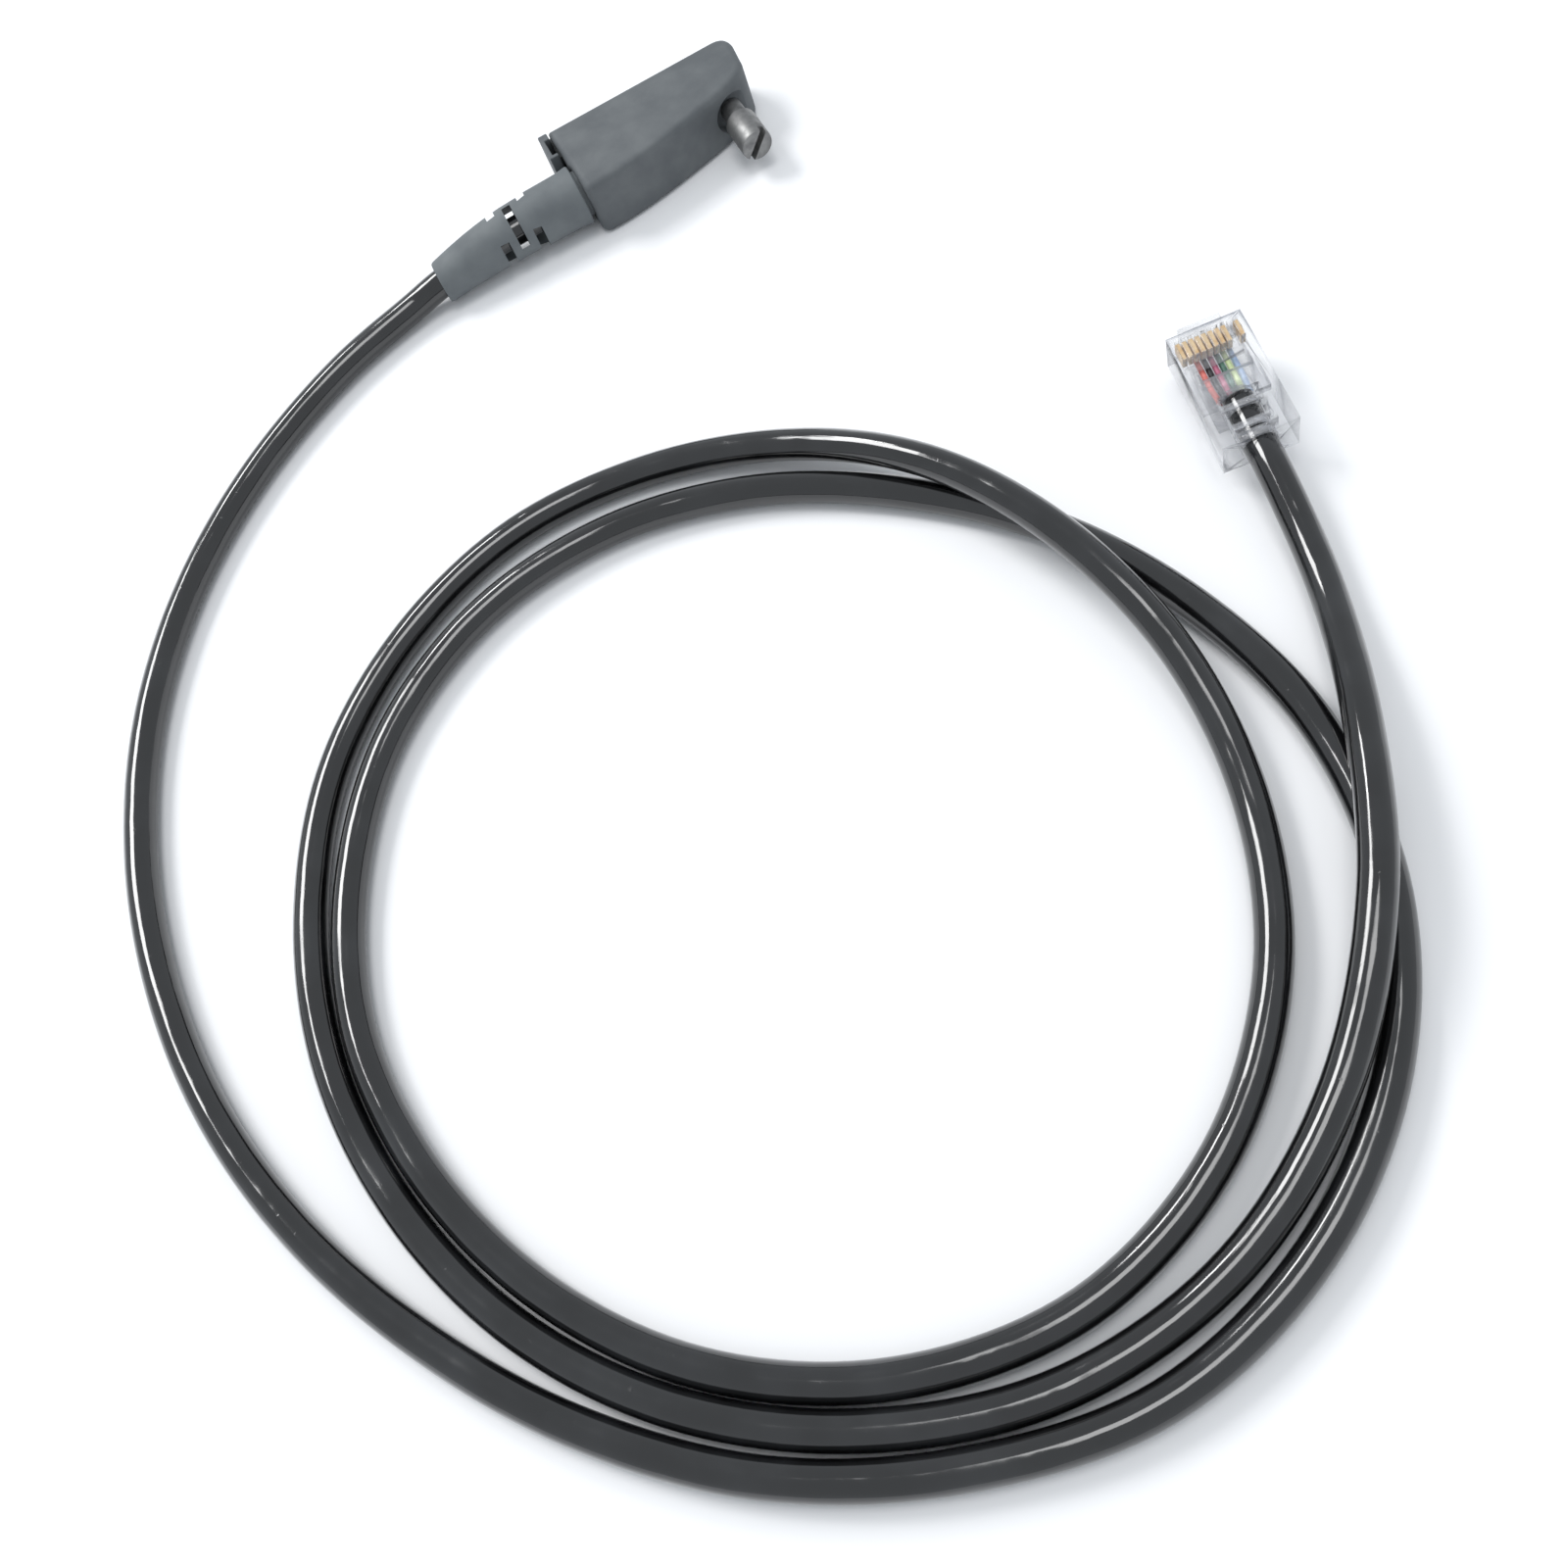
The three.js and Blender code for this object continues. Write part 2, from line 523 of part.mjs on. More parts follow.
/** Insulated wires that fan out from the cable's end to their contacts. */
function buildWires() {
  const wires = new THREE.Group();
  for (const [colour, position, shade] of WIRES) {
    const y = positionY(position);
    const gather = y * WIRE_GATHER;
    const path = new THREE.CatmullRomCurve3([
      new THREE.Vector3(-JACKET_END + BORE_CLEARANCE, gather, WIRE_CENTRE),
      new THREE.Vector3(-JACKET_END + 1.2, gather, WIRE_CENTRE),
      new THREE.Vector3(-WIRE_WINDOW_START - WIRE_WINDOW_LENGTH, y, WIRE_CENTRE),
      new THREE.Vector3(-WIRE_END, y, WIRE_CENTRE),
    ]);
    const section = new THREE.Shape();
    section.absarc(0, 0, WIRE_DIAMETER / 2, 0, 2 * Math.PI);
    const wire = new THREE.ExtrudeGeometry(section, {
      steps: 8, curveSegments: 8, bevelEnabled: false, extrudePath: path,
    });
    wires.add(piece(`wire_${colour}`, wire, finish(shade, 0.45)));
  }
  return wires;
}

/** Group that carries the plug: it rests on the tip of its latch, with one side leaning down. */
function plugFrame() {
  const frame = new THREE.Group();
  const pitch = radians(PLUG_PITCH_UP);
  const roll = radians(PLUG_ROLL);
  const latchReach = (LATCH_LENGTH - NOSE_REACH) * Math.sin(pitch);
  const latchCorner = LATCH_WIDTH / 2 * Math.abs(Math.sin(roll)) * Math.cos(pitch);
  const rise = latchReach + latchCorner + LATCH_DROP * Math.cos(roll) * Math.cos(pitch);
  frame.rotation.set(roll, -pitch, radians(PLUG_HEADING), 'ZYX');
  frame.position.set(PLUG_NOSE_X, PLUG_NOSE_Y, rise);
  frame.updateMatrixWorld(true);
  return frame;
}

/** A point on the plug's axis, by distance behind the comb's front. */
function onPlugAxis(plug, distance) {
  return new THREE.Vector3(-distance, 0, PLUG_HEIGHT / 2).applyMatrix4(plug.matrixWorld);
}

/** A point on the boot's axis, by distance from the housing. */
function onBootAxis(distance) {
  const [sideways, down] = bootBend(distance);
  return new THREE.Vector3(
    -distance - ORIGIN_X, sideways - BOOT_FROM_RADIO_FACE - ORIGIN_Y, MID_HEIGHT + down,
  );
}

/** A tube of the cable's diameter along points. */
function cableAlong(name, points, steps) {
  const section = new THREE.Shape();
  const radius = CABLE_DIAMETER / 2;
  section.moveTo(radius, 0);
  for (let side = 1; side < CABLE_SIDES; side += 1) {
    const angle = 2 * Math.PI * side / CABLE_SIDES;
    section.lineTo(radius * Math.cos(angle), radius * Math.sin(angle));
  }
  const path = new THREE.CatmullRomCurve3(points, false, 'centripetal');
  path.arcLengthDivisions = 2000;
  const tube = new THREE.ExtrudeGeometry(section, {
    steps, bevelEnabled: false, extrudePath: path,
  });
  return piece(name, tube, finish(COLOURS.jacket, 0.25));
}

/** Round black cable: the free length, and its ends inside the plug and the boot. */
function buildCable(plug) {
  const plugMouth = PLUG_LENGTH + BORE_CLEARANCE;
  const bootMouth = BOOT_LENGTH + BORE_CLEARANCE;
  const free = cableAlong('cable', [
    onPlugAxis(plug, plugMouth),
    onPlugAxis(plug, plugMouth + 3),
    ...CABLE_ROUTE.map((point) => new THREE.Vector3(...point)),
    onBootAxis(bootMouth + 6),
    onBootAxis(bootMouth),
  ], CABLE_STEPS);
  const inPlug = cableAlong('cable_end_in_plug', [
    onPlugAxis(plug, JACKET_END + BORE_CLEARANCE), onPlugAxis(plug, PLUG_LENGTH),
  ], 1);
  const inBoot = cableAlong('cable_end_in_boot', [
    onBootAxis(0.5 - BOOT_SPIGOT_LENGTH), onBootAxis(BOOT_COLLAR_LENGTH),
    onBootAxis((BOOT_COLLAR_LENGTH + BOOT_LENGTH) / 2), onBootAxis(BOOT_LENGTH),
  ], 8);
  return [free, inPlug, inBoot];
}

const assembly = new THREE.Group();
const connector = new THREE.Group();
connector.position.set(-ORIGIN_X, -ORIGIN_Y, 0);
connector.add(buildHousing(), buildInsert(), buildRadioContacts(), buildScrew(), buildBoot());
const plug = plugFrame();
plug.add(buildPlugBody(), buildPlugContacts(), buildWires());
assembly.add(connector, plug, ...buildCable(plug));

export default assembly;
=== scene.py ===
"""Radio programming cable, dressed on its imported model: connector, looped cable and clear plug."""

import logging
import math
from dataclasses import dataclass, field
from enum import Enum
from typing import Any, Iterable, Sequence

import bmesh
import bpy
from mathutils import Matrix, Vector
from mathutils.geometry import interpolate_bezier


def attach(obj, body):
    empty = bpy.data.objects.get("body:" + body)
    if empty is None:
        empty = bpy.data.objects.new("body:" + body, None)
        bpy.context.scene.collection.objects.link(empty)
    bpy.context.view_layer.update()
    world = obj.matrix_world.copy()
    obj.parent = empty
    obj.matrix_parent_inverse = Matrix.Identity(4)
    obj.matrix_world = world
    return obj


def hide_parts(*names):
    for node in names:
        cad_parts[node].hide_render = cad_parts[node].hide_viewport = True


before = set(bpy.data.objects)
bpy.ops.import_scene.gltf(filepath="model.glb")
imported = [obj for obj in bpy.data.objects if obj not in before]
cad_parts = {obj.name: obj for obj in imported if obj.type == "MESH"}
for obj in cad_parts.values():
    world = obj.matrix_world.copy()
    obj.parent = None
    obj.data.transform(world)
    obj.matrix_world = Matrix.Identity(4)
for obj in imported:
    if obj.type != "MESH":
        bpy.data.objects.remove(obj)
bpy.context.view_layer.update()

CONNECTOR_BODY = "connector"
SCREW_BODY = "thumb_screw"
CONNECTOR_ORIGIN = Vector((-0.01805, 0.01075, 0.0))
log = logging.getLogger("programming_cable")

Colour = tuple[float, float, float]
Place = tuple[float, float, float]

# Centre line of the cable from the plug to the boot, in metres
CABLE_ROUTE: list[Place] = [
    (0.0429, -0.1436, 0.0034), (0.0335, -0.1660, 0.0072), (0.0210, -0.1872, 0.0085),
    (0.0042, -0.2048, 0.0052), (-0.0174, -0.2164, 0.0030), (-0.0418, -0.2193, 0.0027),
    (-0.0656, -0.2129, 0.0027), (-0.0864, -0.1996, 0.0027), (-0.1021, -0.1805, 0.0027),
    (-0.1114, -0.1577, 0.0027), (-0.1142, -0.1332, 0.0027), (-0.1095, -0.1089, 0.0027),
    (-0.0981, -0.0871, 0.0027), (-0.0793, -0.0711, 0.0027), (-0.0562, -0.0630, 0.0027),
    (-0.0317, -0.0651, 0.0027), (-0.0098, -0.0763, 0.0042), (0.0058, -0.0950, 0.0079),
    (0.0155, -0.1176, 0.0086), (0.0199, -0.1417, 0.0056), (0.0168, -0.1659, 0.0029),
    (0.0060, -0.1880, 0.0027), (-0.0121, -0.2046, 0.0027), (-0.0354, -0.2125, 0.0027),
    (-0.0597, -0.2093, 0.0027), (-0.0812, -0.1971, 0.0027), (-0.0970, -0.1782, 0.0027),
    (-0.1063, -0.1554, 0.0027), (-0.1085, -0.1309, 0.0027), (-0.1017, -0.1071, 0.0027),
    (-0.0877, -0.0870, 0.0027), (-0.0665, -0.0745, 0.0027), (-0.0420, -0.0723, 0.0027),
    (-0.0186, -0.0797, 0.0027), (0.0013, -0.0944, 0.0027), (0.0169, -0.1135, 0.0027),
    (0.0266, -0.1362, 0.0027), (0.0301, -0.1607, 0.0027), (0.0250, -0.1847, 0.0027),
    (0.0113, -0.2052, 0.0027), (-0.0087, -0.2195, 0.0027), (-0.0325, -0.2257, 0.0027),
    (-0.0569, -0.2219, 0.0027), (-0.0794, -0.2119, 0.0027), (-0.0985, -0.1961, 0.0027),
    (-0.1138, -0.1767, 0.0027), (-0.1256, -0.1550, 0.0027), (-0.1330, -0.1314, 0.0027),
    (-0.1353, -0.1068, 0.0027), (-0.1326, -0.0822, 0.0027), (-0.1248, -0.0588, 0.0027),
    (-0.1115, -0.0379, 0.0027), (-0.0936, -0.0209, 0.0027), (-0.0722, -0.0086, 0.0028),
]


def shade(red: int, green: int, blue: int) -> Colour:
    """Linear colour of a screen colour from 0 to 255."""
    def linear(value: int) -> float:
        """Linear share of one channel."""
        share = value / 255
        return share / 12.92 if share <= 0.04045 else ((share + 0.055) / 1.055) ** 2.4
    return linear(red), linear(green), linear(blue)


class Signal:
    """A number that runs through a material, with arithmetic that adds its Math nodes."""

    def __init__(self, graph: "Graph", socket: bpy.types.NodeSocket) -> None:
        """Wrap a socket of a graph."""
        self.graph = graph
        self.socket = socket

    def _join(self, operation: str, first: Any, second: Any) -> "Signal":
        """Result of a Math node on two values."""
        return self.graph.node(
            "ShaderNodeMath", {"operation": operation}, {0: first, 1: second}
        ).take(0)

    def __add__(self, other: Any) -> "Signal":
        """Sum."""
        return self._join("ADD", self, other)

    def __sub__(self, other: Any) -> "Signal":
        """Difference."""
        return self._join("SUBTRACT", self, other)

    def __mul__(self, other: Any) -> "Signal":
        """Product."""
        return self._join("MULTIPLY", self, other)


class Step:
    """A node whose outputs can be taken as signals."""

    def __init__(self, graph: "Graph", node: bpy.types.Node) -> None:
        """Wrap a node of a graph."""
        self.graph = graph
        self.node = node

    def take(self, output: int | str) -> Signal:
        """Output by its number or name."""
        return Signal(self.graph, self.node.outputs[output])


class Graph:
    """Nodes of one material."""

    def __init__(self, name: str) -> None:
        """Start an empty material of the given name."""
        self.material = bpy.data.materials.new(name)
        self.material.use_nodes = True
        self.tree = self.material.node_tree
        self.tree.nodes.clear()

    def node(
        self,
        kind: str,
        settings: dict[str, Any] | None = None,
        inputs: dict[int | str, Any] | None = None,
    ) -> Step:
        """Add a node.

        Args:
            kind: type name of the node.
            settings: properties that are set before its sockets are.
            inputs: a value or signal for each socket, by number or name.

        Returns:
            The node, ready to be taken from.
        """
        node = self.tree.nodes.new(kind)
        for key, value in (settings or {}).items():
            setattr(node, key, value)
        for key, value in (inputs or {}).items():
            socket = node.inputs[key]
            if isinstance(value, Signal):
                self.tree.links.new(value.socket, socket)
            elif isinstance(value, tuple) and len(value) == 3 and len(socket.default_value) == 4:
                socket.default_value = (*value, 1.0)
            else:
                socket.default_value = value
        return Step(self, node)

    def place(self, stretch: Place = (1.0, 1.0, 1.0)) -> Signal:
        """Object coordinates, stretched along each axis."""
        where = self.node("ShaderNodeTexCoord").take("Object")
        return self.node("ShaderNodeMapping", inputs={"Vector": where, "Scale": stretch}).take(0)

    def noise(self, scale: float, detail: float = 3.0, where: Signal | None = None) -> Signal:
        """Soft noise from 0 to 1 over the piece.

        Args:
            scale: number of blotches in each metre.
            detail: number of finer octaves.
            where: coordinates, or the piece's own.

        Returns:
            The noise.
        """
        return self.node("ShaderNodeTexNoise", inputs={
            "Vector": where or self.place(), "Scale": scale, "Detail": detail,
        }).take(0)

    def band(
        self, value: Signal, low: float, high: float, start: float = 0.0, end: float = 1.0
    ) -> Signal:
        """Value mapped from one range to another and held there."""
        return self.node("ShaderNodeMapRange", {"clamp": True}, {
            0: value, 1: low, 2: high, 3: start, 4: end,
        }).take(0)

    def blend(self, share: Signal, first: Any, second: Any) -> Signal:
        """Colour between two colours."""
        return self.node("ShaderNodeMix", {"data_type": "RGBA"}, {
            0: share, 6: first, 7: second,
        }).take(2)

    def relief(self, height: Signal, depth: float, strength: float = 1.0) -> Signal:
        """Normal of a height pattern whose full depth is in metres."""
        return self.node("ShaderNodeBump", inputs={
            "Strength": strength, "Distance": depth, "Height": height,
        }).take(0)

    def surface(self, **values: Any) -> bpy.types.Material:
        """Finish the material with a shader.

        Args:
            values: sockets of the shader, with underscores for spaces.

        Returns:
            The material.
        """
        inputs = {key.replace("_", " "): value for key, value in values.items()}
        shader = self.node("ShaderNodeBsdfPrincipled", inputs=inputs).take(0)
        self.node("ShaderNodeOutputMaterial", inputs={"Surface": shader})
        return self.material


@dataclass(frozen=True)
class MouldedPlastic:
    """Matte moulded plastic or rubber with fine spark grain and soft mottling."""

    name: str
    colour: Colour
    worn: Colour
    roughness: float = 0.62
    grain: float = 0.000035

    def material(self) -> bpy.types.Material:
        """Material of this finish."""
        graph = Graph(self.name)
        cloud = graph.band(graph.noise(160.0, 4.0), 0.35, 0.68)
        speck = graph.noise(3200.0, 2.0)
        base = graph.blend(cloud, self.colour, self.worn)
        base = graph.blend(graph.band(speck, 0.62, 0.78, 0.0, 0.35), base, self.worn)
        rough = graph.band(cloud, 0.0, 1.0, self.roughness + 0.06, self.roughness - 0.05)
        height = speck * 0.6 + graph.noise(900.0, 2.0) * 0.4
        return graph.surface(
            Base_Color=base, Roughness=rough, Specular_IOR_Level=0.42,
            Normal=graph.relief(height, self.grain),
        )


@dataclass(frozen=True)
class TurnedMetal:
    """Satin metal with fine turning marks round the screw's axis."""

    name: str
    colour: Colour
    dull: Colour
    roughness: float = 0.5

    def material(self) -> bpy.types.Material:
        """Material of this finish."""
        graph = Graph(self.name)
        marks = graph.noise(1.0, 3.0, graph.place((500.0, 9000.0, 500.0)))
        cloud = graph.noise(420.0, 3.0)
        base = graph.blend(graph.band(cloud, 0.38, 0.7), self.colour, self.dull)
        wear = cloud + marks * 0.3
        rough = graph.band(wear, 0.4, 0.95, self.roughness - 0.06, self.roughness + 0.14)
        return graph.surface(
            Base_Color=base, Metallic=0.9, Roughness=rough,
            Normal=graph.relief(marks, 0.00002, 0.6),
        )


@dataclass(frozen=True)
class PlatedGold:
    """Gold plating with slight tarnish."""

    name: str
    colour: Colour
    tarnish: Colour
    roughness: float = 0.3

    def material(self) -> bpy.types.Material:
        """Material of this finish."""
        graph = Graph(self.name)
        cloud = graph.band(graph.noise(700.0, 3.0), 0.4, 0.66)
        return graph.surface(
            Base_Color=graph.blend(cloud, self.colour, self.tarnish),
            Metallic=0.45,
            Roughness=graph.band(cloud, 0.0, 1.0, self.roughness, self.roughness + 0.18),
            Normal=graph.relief(graph.noise(2600.0, 2.0), 0.00001, 0.5),
        )


@dataclass(frozen=True)
class GlossyJacket:
    """Glossy black cable jacket with long soft waves, small pits and faint handling marks."""

    name: str
    colour: Colour
    dusty: Colour
    roughness: float = 0.09

    def material(self) -> bpy.types.Material:
        """Material of this finish."""
        graph = Graph(self.name)
        wave = graph.noise(70.0, 1.0)
        lumps = graph.noise(230.0, 1.0)
        pits = graph.band(graph.noise(1100.0, 1.0), 0.72, 0.8)
        haze = graph.band(graph.noise(90.0, 4.0), 0.45, 0.75)
        height = wave * 0.8 + lumps * 0.1 - pits * 0.01
        rough = graph.band(haze, 0.0, 1.0, self.roughness, self.roughness + 0.1) + pits * 0.1
        return graph.surface(
            Base_Color=graph.blend(haze, self.colour, self.dusty),
            Roughness=rough,
            Specular_IOR_Level=0.6,
            Coat_Weight=0.6,
            Coat_Roughness=0.05,
            Normal=graph.relief(height, 0.0008),
        )


@dataclass(frozen=True)
class ClearPlastic:
    """Clear moulding: see-through where it faces you, brighter and greyer along its edges; the grey
    at grazing angles is painted shade for the dark lines that refraction draws in clear plastic.
    """

    name: str
    face: Colour
    edge: Colour
    thin: float = 0.14
    dense: float = 0.85

    def material(self) -> bpy.types.Material:
        """Material of this finish."""
        graph = Graph(self.name)
        tilt = graph.node("ShaderNodeLayerWeight", inputs={"Blend": 0.35}).take("Facing")
        flow = graph.noise(260.0, 3.0, graph.place((1.0, 0.35, 1.0)))
        share = graph.band(tilt + (flow - 0.5) * 0.25, 0.25, 0.95)
        alpha = graph.band(share, 0.0, 1.0, self.thin, self.dense)
        return graph.surface(
            # Base colour greys towards the edge colour at grazing angles: painted shade for
            # refraction lines.
            Base_Color=graph.blend(share, self.face, self.edge),
            Alpha=alpha,
            Roughness=graph.band(flow, 0.3, 0.7, 0.04, 0.14),
            Specular_IOR_Level=0.7,
            Normal=graph.relief(flow, 0.00012, 0.7),
        )


@dataclass(frozen=True)
class WireInsulation:
    """Coloured insulation of one wire, with faint streaks along it."""

    name: str
    colour: Colour

    def material(self) -> bpy.types.Material:
        """Material of this finish."""
        graph = Graph(self.name)
        pale = tuple(min(1.0, channel * 1.5 + 0.03) for channel in self.colour)
        streak = graph.band(graph.noise(900.0, 3.0), 0.42, 0.72)
        return graph.surface(
            Base_Color=graph.blend(streak, self.colour, pale),
            Roughness=graph.band(streak, 0.0, 1.0, 0.36, 0.5),
            Normal=graph.relief(graph.noise(1800.0, 2.0), 0.00002),
        )


@dataclass(frozen=True)
class PaleFloor:
    """Plain white table."""

    name: str
    colour: Colour

    def material(self) -> bpy.types.Material:
        """Material of this finish."""
        graph = Graph(self.name)
        cloud = graph.noise(3.0, 2.0)
        tint = tuple(channel * 0.985 for channel in self.colour)
        return graph.surface(
            Base_Color=graph.blend(cloud, self.colour, tint), Roughness=0.7,
            Specular_IOR_Level=0.2,
        )


class Finish(Enum):
    """Finishes of the object's pieces."""

    SHELL = MouldedPlastic("shell_finish", shade(88, 92, 95), shade(100, 104, 106))
    BOOT = MouldedPlastic("boot_finish", shade(98, 103, 106), shade(110, 115, 117), 0.68, 0.00003)
    INSERT = MouldedPlastic("insert_finish", shade(66, 70, 72), shade(80, 84, 84), 0.55)
    SCREW = TurnedMetal("screw_finish", shade(142, 142, 141), shade(108, 108, 109))
    GOLD = PlatedGold("gold_finish", shade(236, 210, 172), shade(212, 178, 134))
    JACKET = GlossyJacket("jacket_finish", shade(12, 12, 13), shade(28, 29, 31))
    # The clear finish's second colour is painted shade: the grey its walls turn at grazing angles.
    CLEAR = ClearPlastic("clear_finish", shade(240, 241, 245), shade(138, 142, 152))
    FLOOR = PaleFloor("table_finish", shade(250, 250, 251))

    def material(self) -> bpy.types.Material:
        """The finish's material, made once."""
        return bpy.data.materials.get(self.value.name) or self.value.material()


def mesh_object(name: str, mesh: bmesh.types.BMesh) -> bpy.types.Object:
    """Object from a bmesh, smooth shaded, with its faces pointing out.

    Args:
        name: name of the new object.
        mesh: the shape, which is freed.

    Returns:
        The linked object.
    """
    bmesh.ops.remove_doubles(mesh, verts=mesh.verts, dist=1e-7)
    bmesh.ops.recalc_face_normals(mesh, faces=mesh.faces)
    for face in mesh.faces:
        face.smooth = True
    data = bpy.data.meshes.new(name)
    mesh.to_mesh(data)
    mesh.free()
    made = bpy.data.objects.new(name, data)
    bpy.context.scene.collection.objects.link(made)
    return made


def soften(piece: bpy.types.Object, width: float, segments: int = 3, angle: float = 32.0) -> None:
    """Round the piece's sharp edges.

    Args:
        piece: the object.
        width: width of the rounding, in metres.
        segments: steps across it.
        angle: edges sharper than this many degrees are rounded.
    """
    bevel = piece.modifiers.new("soft_edges", "BEVEL")
    bevel.width = width
    bevel.segments = segments
    bevel.limit_method = "ANGLE"
    bevel.angle_limit = math.radians(angle)
    bevel.harden_normals = True


def carved(piece: bpy.types.Object, cutters: Iterable[bpy.types.Object]) -> bpy.types.Object:
    """Cut shapes out of a piece and remove the cutters.

    Args:
        piece: the object to cut.
        cutters: closed shapes.

    Returns:
        The same object with its new mesh.
    """
    tools = list(cutters)
    for tool in tools:
        cut = piece.modifiers.new("cut", "BOOLEAN")
        cut.operation = "DIFFERENCE"
        cut.solver = "EXACT"
        cut.object = tool
    bpy.context.view_layer.update()
    evaluated = piece.evaluated_get(bpy.context.evaluated_depsgraph_get())
    data = bpy.data.meshes.new_from_object(evaluated)
    piece.modifiers.clear()
    piece.data = data
    data.name = piece.name
    for tool in tools:
        bpy.data.objects.remove(tool, do_unlink=True)
    for polygon in data.polygons:
        polygon.use_smooth = True
    return piece


def block(name: str, low: Sequence[float], high: Sequence[float]) -> bpy.types.Object:
    """Closed block between two corners."""
    mesh = bmesh.new()
    bmesh.ops.create_cube(mesh, size=1.0)
    size = Vector(high) - Vector(low)
    bmesh.ops.scale(mesh, vec=size, verts=mesh.verts)
    bmesh.ops.translate(mesh, vec=(Vector(high) + Vector(low)) / 2, verts=mesh.verts)
    return mesh_object(name, mesh)


def bar(
    name: str, diameter: float, start: Vector, end: Vector, sides: int = 64
) -> bpy.types.Object:
    """Closed round bar between two points.

    Args:
        name: name of the new object.
        diameter: across the bar.
        start: middle of one end.
        end: middle of the other end.
        sides: sides round it.

    Returns:
        The linked object.
    """
    mesh = bmesh.new()
    along = end - start
    turn = along.to_track_quat("Z", "Y").to_matrix().to_4x4()
    bmesh.ops.create_cone(
        mesh, cap_ends=True, segments=sides, radius1=diameter / 2, radius2=diameter / 2,
        depth=along.length, matrix=Matrix.Translation((start + end) / 2) @ turn,
    )
    return mesh_object(name, mesh)


def spun(
    name: str, profile: Sequence[tuple[float, float]], axis: Vector, origin: Vector, sides: int
) -> bpy.types.Object:
    """Turned shape.

    Args:
        name: name of the new object.
        profile: radius and distance along the axis of each point.
        axis: direction of the axis.
        origin: where distance is zero.
        sides: sides round it.

    Returns:
        The linked object.
    """
    mesh = bmesh.new()
    across = axis.orthogonal().normalized()
    verts = [mesh.verts.new(origin + across * r + axis * d) for r, d in profile]
    edges = [mesh.edges.new(pair) for pair in zip(verts, verts[1:])]
    bmesh.ops.spin(
        mesh, geom=[*verts, *edges], cent=origin, axis=axis, angle=2 * math.pi, steps=sides,
        use_merge=True, use_duplicate=False,
    )
    return mesh_object(name, mesh)


def tube(name: str, points: Sequence[Vector], radius: float, sides: int) -> bpy.types.Object:
    """Closed round tube that follows points.

    Args:
        name: name of the new object.
        points: centre line.
        radius: of the tube.
        sides: sides round it, a multiple of four.

    Returns:
        The linked object.
    """
    curve = bpy.data.curves.new(name, "CURVE")
    curve.dimensions = "3D"
    curve.bevel_depth = radius
    curve.bevel_resolution = sides // 4 - 1
    curve.use_fill_caps = True
    spline = curve.splines.new("POLY")
    spline.points.add(len(points) - 1)
    for point, place in zip(spline.points, points):
        point.co = (*place, 1.0)
    carrier = bpy.data.objects.new(name, curve)
    bpy.context.scene.collection.objects.link(carrier)
    bpy.context.view_layer.update()
    evaluated = carrier.evaluated_get(bpy.context.evaluated_depsgraph_get())
    mesh = bmesh.new()
    mesh.from_mesh(evaluated.to_mesh())
    bpy.data.objects.remove(carrier, do_unlink=True)
    bpy.data.curves.remove(curve)
    return mesh_object(name, mesh)


def smooth_line(points: Sequence[Vector], steps: int) -> list[Vector]:
    """Centripetal line through points.

    Args:
        points: places that the line passes through.
        steps: steps between two of them.

    Returns:
        The places along the line.
    """
    padded = [2 * points[0] - points[1], *points, 2 * points[-1] - points[-2]]
    line: list[Vector] = []
    for a, b, c, d in zip(padded, padded[1:], padded[2:], padded[3:]):
        t1 = (b - a).length ** 0.5
        t2 = t1 + (c - b).length ** 0.5
        t3 = t2 + (d - c).length ** 0.5
        for step in range(steps):
            t = t1 + (t2 - t1) * step / steps
            ab = a.lerp(b, t / t1)
            bc = b.lerp(c, (t - t1) / (t2 - t1))
            cd = c.lerp(d, (t - t2) / (t3 - t2))
            abc = ab.lerp(bc, t / t2)
            bcd = bc.lerp(cd, (t - t1) / (t3 - t1))
            line.append(abc.lerp(bcd, (t - t1) / (t2 - t1)))
    line.append(points[-1].copy())
    return line


def packed_copy(node: str, name: str) -> bpy.types.Object:
    """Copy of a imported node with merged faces.

    Args:
        node: the node that it stands for.
        name: name of the copy.

    Returns:
        The linked copy, which replaces the node.
    """
    mesh = bmesh.new()
    mesh.from_mesh(bpy.data.objects[node].data)
    bmesh.ops.remove_doubles(mesh, verts=mesh.verts, dist=2e-6)
    bmesh.ops.dissolve_limit(
        mesh, angle_limit=math.radians(1.5), verts=mesh.verts, edges=mesh.edges,
    )
    copy = mesh_object(name, mesh)
    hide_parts(node)
    return copy


def softened_copy(node: str, name: str, width: float, segments: int = 3) -> bpy.types.Object:
    """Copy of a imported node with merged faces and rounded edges.

    Args:
        node: the node that it stands for.
        name: name of the copy.
        width: width of the rounding, in metres.
        segments: steps across it.

    Returns:
        The linked copy, which replaces the node.
    """
    copy = packed_copy(node, name)
    soften(copy, width, segments)
    return copy


def dress(
    piece: bpy.types.Object, material: bpy.types.Material, body: str
) -> bpy.types.Object:
    """Give a piece its material and its body.

    Args:
        piece: the object.
        material: its only material.
        body: the body that it rides on.

    Returns:
        The same object.
    """
    piece.data.materials.clear()
    piece.data.materials.append(material)
    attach(piece, body)
    log.info("%s: %d faces", piece.name, len(piece.data.polygons))
    return piece


